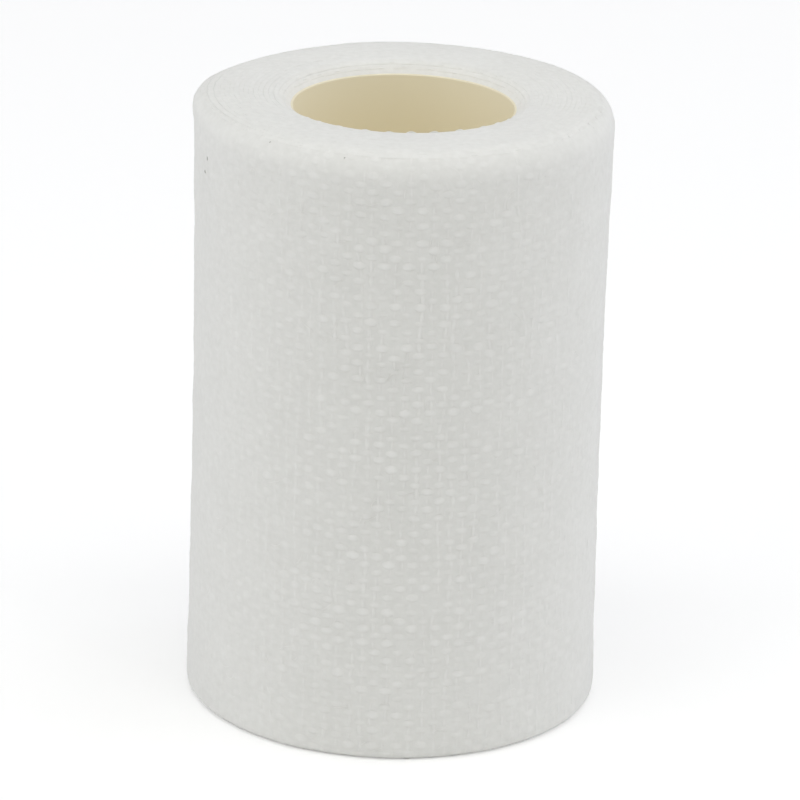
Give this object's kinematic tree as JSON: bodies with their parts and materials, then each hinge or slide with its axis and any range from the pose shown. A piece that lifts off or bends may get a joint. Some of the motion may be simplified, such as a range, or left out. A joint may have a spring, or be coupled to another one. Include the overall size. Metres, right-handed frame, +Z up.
{
  "type": "cohesive bandage roll",
  "caption": "Roll of white cohesive elastic gauze bandage wound on an open ivory tube, standing on one end.",
  "frame": {"origin": "middle of the flat end that the roll stands on, on the tube's axis", "axes": "+Z up along the roll's axis; -Y towards the side that faces the viewer; the cut end of the strip lies on the back"},
  "size_m": [0.0534, 0.0539, 0.0802],
  "materials": {
    "gauze": "matte white crinkled gauze in plain weave",
    "tube": "smooth ivory plastic, satin"
  },
  "bodies": {
    "root": {"bandage_roll": "gauze", "core_tube": "tube"}
  },
  "joints": []
}
